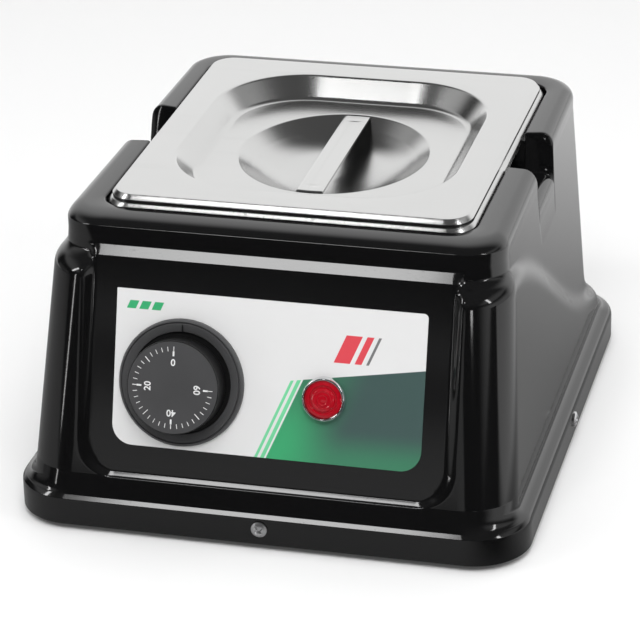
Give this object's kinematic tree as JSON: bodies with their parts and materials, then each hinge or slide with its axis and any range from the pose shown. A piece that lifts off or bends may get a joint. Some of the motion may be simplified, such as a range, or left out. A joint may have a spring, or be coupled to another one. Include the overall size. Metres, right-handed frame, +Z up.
{
  "type": "chocolate melting tank",
  "caption": "Countertop chocolate melting tank: a lidded gastronorm pan hangs in a heated well in a black shell, with a thermostat dial and pilot lamp on the sloping front.",
  "frame": {"origin": "on the ground, under the middle of the skirt", "axes": "+Z up, -Y towards the control front, +X to the right seen from the front"},
  "size_m": [0.2296, 0.2586, 0.1353],
  "materials": {
    "shell_black": "gloss black thermoformed plastic",
    "zinc_sheet": "zinc plated sheet steel",
    "aluminium_sheet": "plain sheet aluminium",
    "screw_steel": "bright zinc plated",
    "stainless": "satin stainless sheet",
    "foot_rubber": "matt black rubber",
    "heater_silicone": "silicone heating mat",
    "glass_wool": "glass wool blanket",
    "brown_plastic": "phenolic plastic",
    "label_film": "printed polyester film",
    "thermostat_case": "moulded thermoset",
    "bezel_black": "gloss black moulding",
    "knob_black": "satin black moulding with a printed dial",
    "copper": "bare copper",
    "lamp_case": "black moulding",
    "lamp_chrome": "polished chrome plating",
    "lamp_red": "red translucent lens",
    "terminal_white": "white nylon",
    "brass_stud": "plain brass",
    "gland_black": "black nylon",
    "wire_sleeve": "heat resistant sleeving"
  },
  "bodies": {
    "housing": {"housing_shell": "shell_black", "base_plate": "zinc_sheet", "shell_screws": "screw_steel", "foot_front_left": "foot_rubber", "foot_front_right": "foot_rubber", "foot_rear_left": "foot_rubber", "foot_rear_right": "foot_rubber", "foot_screws": "screw_steel", "heating_well": "aluminium_sheet", "heating_mat": "heater_silicone", "insulation_wrap": "glass_wool", "thermal_cutout": "brown_plastic", "well_standoffs": "zinc_sheet", "standoff_screws": "screw_steel", "well_screws": "screw_steel", "control_label": "label_film", "thermostat_body": "thermostat_case", "thermostat_screws": "screw_steel", "thermostat_bezel": "bezel_black", "sensor_bulb": "copper", "bulb_clip": "zinc_sheet", "capillary_tube": "copper", "lamp_body": "lamp_case", "lamp_nut": "zinc_sheet", "lamp_bezel": "lamp_chrome", "lamp_lens": "lamp_red", "terminal_block": "terminal_white", "terminal_screws": "screw_steel", "earth_stud": "brass_stud", "cable_gland": "gland_black", "gland_nut": "gland_black", "wiring": "wire_sleeve"},
    "dial": {"thermostat_knob": "knob_black", "thermostat_shaft": "screw_steel"},
    "pan": {"pan": "stainless"},
    "lid": {"lid": "stainless", "lid_handle": "stainless"}
  },
  "joints": [
    {"name": "dial_turn", "type": "hinge", "parent": "housing", "child": "dial", "pos_m": [-0.0375, -0.11524, 0.069], "axis": [0, 0.9574, -0.2887], "range_deg": [0, 270]},
    {"name": "pan_lift", "type": "slide", "parent": "housing", "child": "pan", "axis": [0, 0, 1], "range_m": [0, 0.12]},
    {"name": "lid_lift", "type": "slide", "parent": "pan", "child": "lid", "axis": [0, 0, 1], "range_m": [0, 0.08]}
  ]
}
